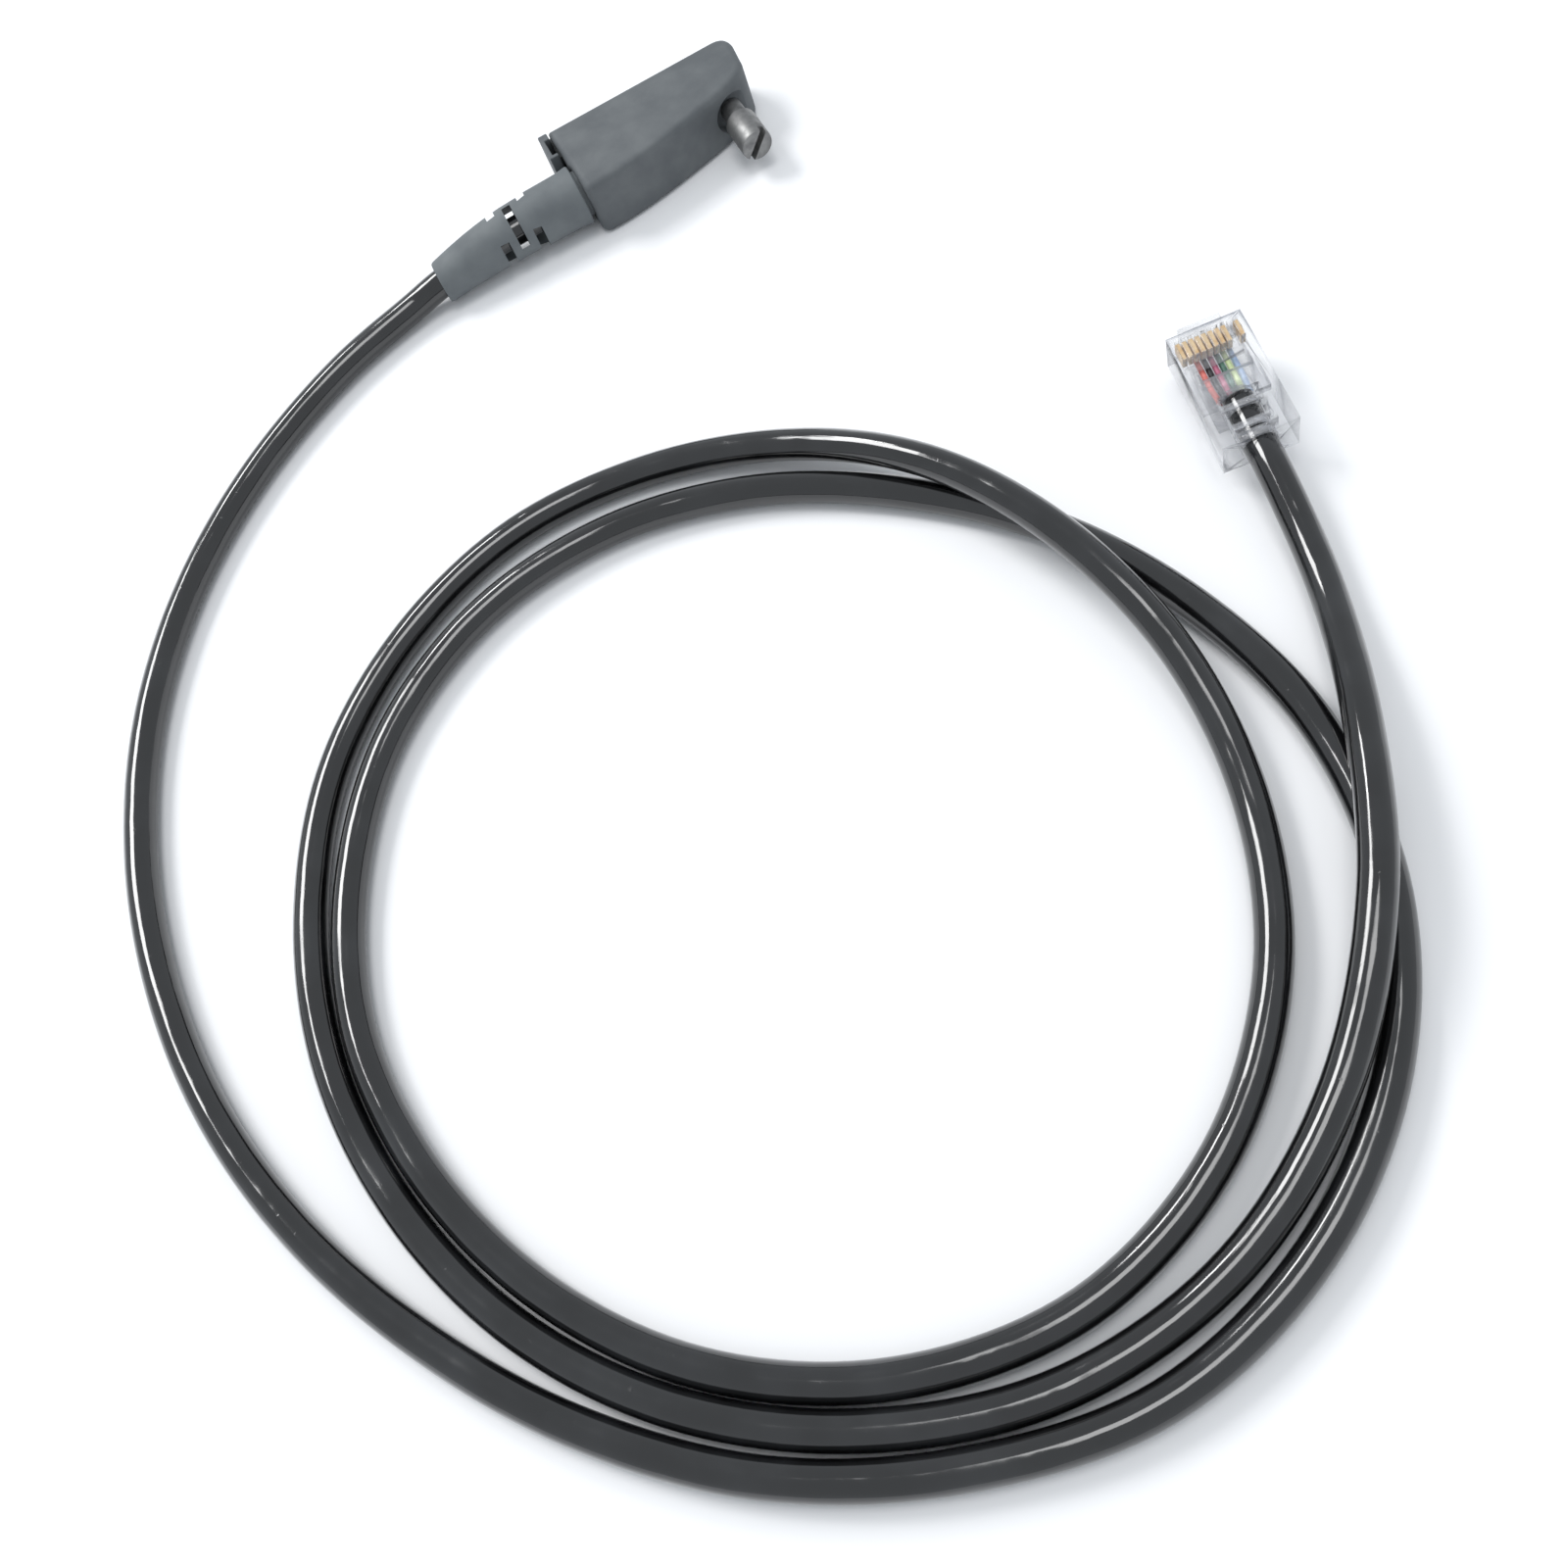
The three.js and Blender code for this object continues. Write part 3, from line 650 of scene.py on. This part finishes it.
@dataclass
class ConnectorHousing:
    """Grey wedge-shaped housing on its side, with pockets for the lip, boot and screw."""

    length: float = 0.0374
    height: float = 0.0114
    depth_cable_end: float = 0.0190
    depth_at_screw: float = 0.0133
    depth_screw_end: float = 0.0104
    corner: float = 0.0019
    lean: float = 0.0005
    shoulder: tuple[float, float] = (0.0266, 0.0147)
    hip: tuple[float, float] = (0.0336, 0.0123)
    flat_start: float = 0.0079
    screw_corner: float = 0.0034
    back_shares: tuple[float, float] = (0.38, 0.7)
    curve_steps: int = 14
    edge_round: float = 0.0013
    screw_x: float = 0.0316
    bore: float = 0.0036
    pocket: float = 0.0074
    pocket_floor: float = 0.0117
    boot_socket: float = 0.0090
    boot_y: float = -0.0126
    boot_depth: float = 0.0035
    lip_length: float = 0.0253
    lip_depth: float = 0.0055
    lip_half_height: float = 0.0036
    overrun: float = 0.005
    far_side: float = -0.03

    def outline(self) -> list[Vector]:
        """Outline seen from above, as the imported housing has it."""
        back = -self.depth_cable_end
        end = self.length - self.lean
        sx, sy = self.shoulder
        hx, hy = self.hip
        flat_share, fall_share = self.back_shares
        runs = [
            ((self.lean, back + self.corner), (self.lean, back), (self.lean, back),
             (self.lean + self.corner, back)),
            ((self.lean + self.corner, back), (sx * flat_share, back),
             (sx * fall_share, (back - sy) / 2), (sx, -sy)),
            ((sx, -sy), (self.screw_x, -self.depth_at_screw), (self.screw_x, -self.depth_at_screw),
             (hx, -hy)),
            ((hx, -hy), (end, -self.depth_screw_end), (end, -self.depth_screw_end),
             (end, -self.flat_start)),
            ((self.length, -self.screw_corner), (self.length, 0.0), (self.length, 0.0),
             (self.length - self.screw_corner, 0.0)),
        ]
        points = [Vector((0.0, 0.0, 0.0))]
        for first, out_of, into, last in runs:
            if out_of == into:
                corner = Vector((*out_of, 0.0))
                out_of = Vector((*first, 0.0)).lerp(corner, 2 / 3)
                into = Vector((*last, 0.0)).lerp(corner, 2 / 3)
            curve = interpolate_bezier(
                Vector((*first[:2], 0.0)), Vector((*out_of[:2], 0.0)),
                Vector((*into[:2], 0.0)), Vector((*last[:2], 0.0)), self.curve_steps,
            )
            points.extend(Vector((p.x, p.y, 0.0)) for p in curve)
        kept = [points[0]]
        for point in points[1:]:
            if (point - kept[-1]).length > 1e-5:
                kept.append(point)
        return kept

    def build(self) -> bpy.types.Object:
        """Moulded housing with its pockets."""
        mesh = bmesh.new()
        verts = [mesh.verts.new(point + CONNECTOR_ORIGIN) for point in self.outline()]
        face = mesh.faces.new(verts)
        grown = bmesh.ops.extrude_face_region(mesh, geom=[face])
        top = [item for item in grown["geom"] if isinstance(item, bmesh.types.BMVert)]
        bmesh.ops.translate(mesh, vec=(0.0, 0.0, self.height), verts=top)
        rims = [
            edge for edge in mesh.edges
            if abs(edge.verts[0].co.z - edge.verts[1].co.z) < 1e-7 and len(edge.link_faces) == 2
        ]
        bmesh.ops.bevel(
            mesh, geom=rims, offset=self.edge_round, segments=6, profile=0.5, material=-1,
            affect="EDGES", clamp_overlap=True,
        )
        shell = mesh_object("housing_shell", mesh)
        over, rise = self.overrun, self.lip_half_height
        lip = block("lip_pocket", self.inside(-over, -self.lip_depth, -rise),
                    self.inside(self.lip_length, over, rise))
        socket = bar("boot_socket", self.boot_socket, self.inside(-over, self.boot_y),
                     self.inside(self.boot_depth, self.boot_y))
        bore = bar("screw_bore", self.bore, self.inside(self.screw_x, self.far_side),
                   self.inside(self.screw_x, over))
        pocket = bar("screw_pocket", self.pocket, self.inside(self.screw_x, self.far_side),
                     self.inside(self.screw_x, -self.pocket_floor))
        return carved(shell, [lip, socket, bore, pocket])

    def inside(self, x: float, y: float, rise: float = 0.0) -> Vector:
        """Point of the connector, measured from its corner and its half height."""
        return CONNECTOR_ORIGIN + Vector((x, y, self.height / 2 + rise))

    def add(self) -> None:
        """Build and dress the housing."""
        shell = self.build()
        soften(shell, 0.00018, 2, 40.0)
        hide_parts("connector_housing")
        dress(shell, Finish.SHELL.material(), CONNECTOR_BODY)


@dataclass
class RadioFace:
    """Contact insert, its lip that shows at the cable end, and the contacts."""

    contacts: int = 9
    bracket_low: Place = (-0.0021, -0.0066, 0.0010)
    bracket_high: Place = (-0.0003, 0.0004, 0.0108)
    recess_low: Place = (-0.0013, -0.0058, 0.0045)
    recess_high: Place = (0.0010, -0.0014, 0.0150)
    old_lip_low: Place = (-0.005, -0.02, -0.01)
    old_lip_high: Place = (-0.0003, 0.02, 0.03)
    insert_edge: float = 0.00015
    bracket_edge: float = 0.00022
    contact_edge: float = 0.0002

    def span(self, name: str, low: Place, high: Place) -> bpy.types.Object:
        """Block between two places measured from the connector's corner."""
        return block(name, CONNECTOR_ORIGIN + Vector(low), CONNECTOR_ORIGIN + Vector(high))

    def add(self) -> None:
        """Build and dress the insert and its contacts."""
        insert = packed_copy("contact_insert", "insert_moulding")
        carved(insert, [self.span("old_lip", self.old_lip_low, self.old_lip_high)])
        soften(insert, self.insert_edge)
        dress(insert, Finish.INSERT.material(), CONNECTOR_BODY)
        bracket = self.span("end_bracket", self.bracket_low, self.bracket_high)
        carved(bracket, [self.span("end_recess", self.recess_low, self.recess_high)])
        soften(bracket, self.bracket_edge)
        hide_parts("contact_insert")
        dress(bracket, Finish.SHELL.material(), CONNECTOR_BODY)
        for index in range(1, self.contacts + 1):
            name = f"round_contact_{index}"
            pin = softened_copy(f"radio_contact_{index}", name, self.contact_edge)
            dress(pin, Finish.GOLD.material(), CONNECTOR_BODY)


@dataclass
class ThumbScrew:
    """Captive thumb screw with a slotted head."""

    centre: Place = (0.01355, 0.01075, 0.0057)
    tip: float = 0.0025
    thread: float = 0.0030
    neck: float = 0.0042
    head: float = 0.0059
    neck_start: float = 0.0120
    head_start: float = 0.0164
    head_end: float = 0.0240
    slot: tuple[float, float] = (0.0012, 0.0015)
    slot_turn: float = 52.0
    thread_pitch: float = 0.0005
    thread_depth: float = 0.00022
    thread_end: float = 0.004
    edge: float = 0.0004
    edge_step: float = 0.0001
    sides: int = 64

    def profile(self) -> list[tuple[float, float]]:
        """Radius and distance from the tip to the end of the head."""
        thread, neck, head = self.thread / 2, self.neck / 2, self.head / 2
        edge, step = self.edge, self.edge_step
        start, end = self.head_start, self.head_end
        points = [(0.0, -self.tip), (thread - edge, -self.tip)]
        place = edge - self.tip
        while place < self.thread_end:
            valley = (thread - self.thread_depth, place + self.thread_pitch / 2)
            points += [(thread, place), valley]
            place += self.thread_pitch
        points += [
            (thread, place), (thread, self.neck_start), (neck, self.neck_start),
            (neck, start), (head - edge, start), (head - step, start + step),
            (head, start + edge), (head, end - edge), (head - step, end - step),
            (head - edge, end), (0.0, end),
        ]
        return points

    def add(self) -> None:
        """Build and dress the screw."""
        origin = Vector(self.centre)
        outward = Vector((0.0, -1.0, 0.0))
        screw = spun("screw_turned", self.profile(), outward, origin, self.sides)
        width, depth = self.slot
        cutter = block(
            "screw_slot", (-self.head, -depth, -width / 2), (self.head, depth, width / 2)
        )
        turn = Matrix.Rotation(-math.radians(self.slot_turn), 4, "Y")
        end = Matrix.Translation(origin + outward * self.head_end)
        cutter.data.transform(end @ turn)
        carved(screw, [cutter])
        soften(screw, self.edge_step, 2, 40.0)
        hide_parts("thumb_screw")
        dress(screw, Finish.SCREW.material(), SCREW_BODY)


@dataclass
class StrainReliefBoot:
    """Boot with a smooth collar, three staggered slots and a tapered tail."""

    root: Place = (-0.01805, -0.00185, 0.0057)
    length: float = 0.0305
    collar: float = 0.0094
    bore: float = 0.0029
    groove: float = 0.0017
    ring: float = 0.0016
    spread: float = 0.0078
    slot_reach: float = 0.012
    slot_turns: tuple[float, ...] = (28.0, -50.0, 28.0)
    spigot: float = 0.0042
    spigot_depth: float = 0.0032
    tail_root: float = 0.0047
    tail_taper: float = 0.0009
    sides: int = 72
    droop: float = 0.0015
    sweep: float = 0.0010

    def bend(self, distance: float) -> Vector:
        """Shift of the axis at a distance from the housing."""
        share = max(0.0, distance - self.collar) / (self.length - self.collar)
        return Vector((0.0, -self.sweep * share ** 2, -self.droop * share ** 2))

    def on_axis(self, distance: float) -> Vector:
        """Point on the axis at a distance from the housing."""
        return Vector(self.root) + Vector((-distance, 0.0, 0.0)) + self.bend(distance)

    def profile(self) -> list[tuple[float, float]]:
        """Closed outline of the wall: outside, tail, bore and spigot."""
        cone = self.collar + 3 * self.groove + 2 * self.ring
        outer = [
            (self.spigot, -self.spigot_depth), (self.spigot, 0.0003), (0.0053, 0.0003),
            (0.00545, 0.0005),
            (0.0054, 0.0011), (0.0052, 0.0025), (0.00515, 0.005), (0.0051, self.collar - 0.0002),
            (0.0051, self.collar), (0.0049, self.collar + self.groove), (0.00485, cone - 0.003),
        ]
        tail = [
            (self.tail_root - self.tail_taper * share ** 1.2, cone + (self.length - cone) * share)
            for share in (0.0, 0.2, 0.4, 0.6, 0.8, 0.95)
        ]
        rim = [(0.00378, self.length - 0.0003), (0.0036, self.length - 0.00005),
               (0.0034, self.length)]
        inner = [(self.bore, self.length), (self.bore, cone), (self.bore, self.collar),
                 (self.bore, -self.spigot_depth), (self.spigot, -self.spigot_depth)]
        return outer + tail + rim + inner

    def add(self) -> bpy.types.Object:
        """Build and dress the boot.

        Returns:
            The boot, which is on the cable.
        """
        root = Vector(self.root)
        away = Vector((-1.0, 0.0, 0.0))
        boot = spun("boot_moulding", self.profile(), away, root, self.sides)
        half, reach, rise = self.groove / 2, self.slot_reach, self.spread / 2
        cutters = []
        for index, turn in enumerate(self.slot_turns):
            middle = self.collar + half + index * (self.groove + self.ring)
            cutter = block(f"slot_{index}", (-half, -reach, -rise), (half, reach, rise))
            cutter.data.transform(
                Matrix.Translation(root + away * middle)
                @ Matrix.Rotation(math.radians(turn), 4, "X")
            )
            cutters.append(cutter)
        carved(boot, cutters)
        for vertex in boot.data.vertices:
            vertex.co += self.bend(root.x - vertex.co.x)
        soften(boot, 0.00022, 3, 35.0)
        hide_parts("strain_relief_boot")
        return dress(boot, Finish.BOOT.material(), CONNECTOR_BODY)


@dataclass
class ModularPlug:
    """Clear ten-position plug with gold blades and coloured wires."""

    nose: tuple[float, float] = (0.0516, -0.0988)
    heading: float = 80.5
    pitch: float = 3.0
    roll: float = -2.5
    height: float = 0.0067
    length: float = 0.0215
    latch_reach: float = 0.0132
    latch_drop: float = 0.0026
    latch_width: float = 0.0062
    position_pitch: float = 0.001016
    positions: int = 10
    empty: int = 9
    jacket_end: float = 0.0124
    jacket_gap: float = 0.0003
    comb_depth: float = 0.0026
    wire_drop: float = 0.00075
    wire_diameter: float = 0.0009
    wire_gather: float = 0.94
    wire_stations: tuple[float, ...] = (-0.0093, -0.0055, -0.0020)
    blade_width: float = 0.00076
    blade_start: float = 0.00115
    blade_end: float = 0.00425
    blade_low: float = 0.00425
    blade_high: float = 0.0062
    wires: dict[str, tuple[int, Colour]] = field(default_factory=lambda: {
        "red": (3, shade(228, 118, 110)),
        "black": (4, shade(44, 44, 47)),
        "crimson": (5, shade(184, 104, 130)),
        "dark_green": (6, shade(84, 120, 106)),
        "yellow_green": (7, shade(198, 214, 160)),
        "blue": (8, shade(162, 182, 212)),
    })

    def frame(self) -> Matrix:
        """Place of the plug: x to its nose, y to its left, z up, from the comb's front."""
        pitch, roll = math.radians(self.pitch), math.radians(self.roll)
        rise = (
            self.latch_reach * math.sin(pitch)
            + self.latch_width / 2 * abs(math.sin(roll)) * math.cos(pitch)
            + self.latch_drop * math.cos(roll) * math.cos(pitch)
        )
        return (
            Matrix.Translation((*self.nose, rise))
            @ Matrix.Rotation(math.radians(self.heading), 4, "Z")
            @ Matrix.Rotation(-pitch, 4, "Y")
            @ Matrix.Rotation(roll, 4, "X")
        )

    def on_axis(self, distance: float) -> Vector:
        """Point on the plug's axis, behind the comb's front."""
        return self.frame() @ Vector((-distance, 0.0, self.height / 2))

    def across(self, position: int) -> float:
        """Place of one position across the comb."""
        return ((self.positions + 1) / 2 - position) * self.position_pitch

    def add_wire(self, colour: str, position: int, tint: Colour) -> bpy.types.Object:
        """Build and dress one wire.

        Args:
            colour: name of the wire's colour.
            position: its place across the comb, from the left.
            tint: its colour.

        Returns:
            The wire.
        """
        y = self.across(position)
        gathered = y * self.wire_gather
        centre = self.height - self.comb_depth - self.wire_drop
        start = -self.jacket_end + self.jacket_gap
        places = [(start, gathered, centre), (start + self.wire_diameter, gathered, centre)]
        places += [(station, y, centre) for station in self.wire_stations]
        path = [self.frame() @ Vector(place) for place in places]
        wire = tube(f"insulated_wire_{colour}", smooth_line(path, 8), self.wire_diameter / 2, 16)
        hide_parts(f"wire_{colour}")
        finish = WireInsulation(f"insulation_{colour}", tint)
        return dress(wire, finish.material(), CONNECTOR_BODY)

    def add_blade(self, position: int) -> bpy.types.Object:
        """Build and dress the gold blade at one position of the comb."""
        y = self.across(position)
        half = self.blade_width / 2
        blade = block(f"blade_{position}", (-self.blade_end, y - half, self.blade_low),
                      (-self.blade_start, y + half, self.blade_high))
        blade.data.transform(self.frame())
        soften(blade, 0.00008, 2)
        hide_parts(f"plug_contact_{position}")
        return dress(blade, Finish.GOLD.material(), CONNECTOR_BODY)

    def add(self) -> list[bpy.types.Object]:
        """Build and dress the plug.

        Returns:
            The plug's pieces, which are on the cable.
        """
        body = softened_copy("plug_body", "plug_moulding", 0.00012, 2)
        pieces = [dress(body, Finish.CLEAR.material(), CONNECTOR_BODY)]
        for position in range(1, self.positions + 1):
            if position == self.empty:
                continue
            pieces.append(self.add_blade(position))
        for colour, (position, tint) in self.wires.items():
            pieces.append(self.add_wire(colour, position, tint))
        return pieces


@dataclass
class JacketedCable:
    """Round glossy cable from the connector to the plug."""

    diameter: float = 0.0052
    length: float = 1.40
    gap: float = 0.0003
    start_inside: float = -0.0027
    middle_of_boot: float = 0.01995
    straight_at_boot: float = 0.006
    straight_at_plug: float = 0.003
    steps: int = 10
    sides: int = 32

    def line(self, boot: StrainReliefBoot, plug: ModularPlug) -> list[Vector]:
        """Centre line from inside the boot to the jacket's end in the plug."""
        mouth, rear = boot.length + self.gap, plug.length + self.gap
        in_boot = (
            self.start_inside, boot.collar, self.middle_of_boot, mouth,
            mouth + self.straight_at_boot,
        )
        in_plug = (rear + self.straight_at_plug, rear, plug.jacket_end + self.gap)
        points = [boot.on_axis(distance) for distance in in_boot]
        points += [Vector(place) for place in reversed(CABLE_ROUTE)]
        points += [plug.on_axis(distance) for distance in in_plug]
        return smooth_line(points, self.steps)

    def add(
        self, boot: StrainReliefBoot, plug: ModularPlug, pieces: list[bpy.types.Object]
    ) -> None:
        """Args:
            boot: the boot that it leaves the housing through.
            plug: the plug at its far end.
            pieces: everything that is on the cable; not used.
        """
        line = self.line(boot, plug)
        cable = tube("cable_jacket", line, self.diameter / 2, self.sides)
        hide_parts("cable", "cable_end_in_plug", "cable_end_in_boot")
        dress(cable, Finish.JACKET.material(), CONNECTOR_BODY)
        length = sum((b - a).length for a, b in zip(line, line[1:]))
        log.info("cable length %.3f m", length)


@dataclass
class Studio:
    """Pale table, soft light from the upper left and the camera of the photograph."""

    place: Place = (-0.0357, -0.2415, 0.2015)
    right: Place = (0.87667, -0.41570, -0.24215)
    up: Place = (0.48101, 0.76574, 0.42693)
    back: Place = (0.00795, -0.49076, 0.87126)
    lens: float = 36.0
    table_half: float = 3.0
    sky_tint: Colour = (0.90, 0.95, 1.0)
    sky_strength: float = 0.72
    aim: Place = (-0.03, -0.11, 0.0)
    strip_aim: Place = (0.03, -0.13, 0.0)

    def add_light(
        self, name: str, place: Place, aim: Place, size: float, power: float
    ) -> None:
        """Add a square soft light.

        Args:
            name: name of the light.
            place: where it hangs.
            aim: the point that it faces.
            size: length of its side.
            power: watts.
        """
        data = bpy.data.lights.new(name, "AREA")
        data.size, data.energy = size, power
        lamp = bpy.data.objects.new(name, data)
        lamp.location = place
        lamp.rotation_euler = (Vector(place) - Vector(aim)).to_track_quat("Z", "Y").to_euler()
        bpy.context.scene.collection.objects.link(lamp)

    def add_camera(self) -> None:
        """Add the camera at the photograph's place."""
        data = bpy.data.cameras.new("photo_camera")
        data.sensor_width, data.lens = 36.0, self.lens
        data.clip_start, data.clip_end = 0.005, 20.0
        camera = bpy.data.objects.new("photo_camera", data)
        turn = Matrix((self.right, self.up, self.back)).transposed().to_4x4()
        camera.matrix_world = Matrix.Translation(self.place) @ turn
        bpy.context.scene.collection.objects.link(camera)
        bpy.context.scene.camera = camera

    def add(self) -> None:
        """Set up the table, the lights and the camera."""
        mesh = bmesh.new()
        bmesh.ops.create_grid(mesh, x_segments=1, y_segments=1, size=self.table_half)
        table = mesh_object("pale_table", mesh)
        table.data.materials.append(Finish.FLOOR.material())
        world = bpy.data.worlds.new("soft_room")
        world.use_nodes = True
        sky = world.node_tree.nodes["Background"]
        sky.inputs["Color"].default_value = (*self.sky_tint, 1.0)
        sky.inputs["Strength"].default_value = self.sky_strength
        bpy.context.scene.world = world
        bpy.context.scene.view_settings.view_transform = "Standard"
        self.add_light("window", (-0.62, 0.80, 1.15), self.aim, 0.50, 9.5)
        self.add_light("ceiling", (0.10, -0.10, 1.4), self.aim, 0.5, 4.0)
        self.add_light("strip", (-0.20, 0.55, 0.62), self.strip_aim, 0.12, 0.8)
        self.add_camera()


def main() -> None:
    """Build the scene in order: studio, connector, plug and cable."""
    logging.basicConfig(level=logging.INFO, format="%(name)s: %(message)s")
    Studio().add()
    ConnectorHousing().add()
    RadioFace().add()
    ThumbScrew().add()
    boot = StrainReliefBoot()
    plug = ModularPlug()
    on_cable = [boot.add(), *plug.add()]
    JacketedCable().add(boot, plug, on_cable)


if __name__ == "__main__":
    main()
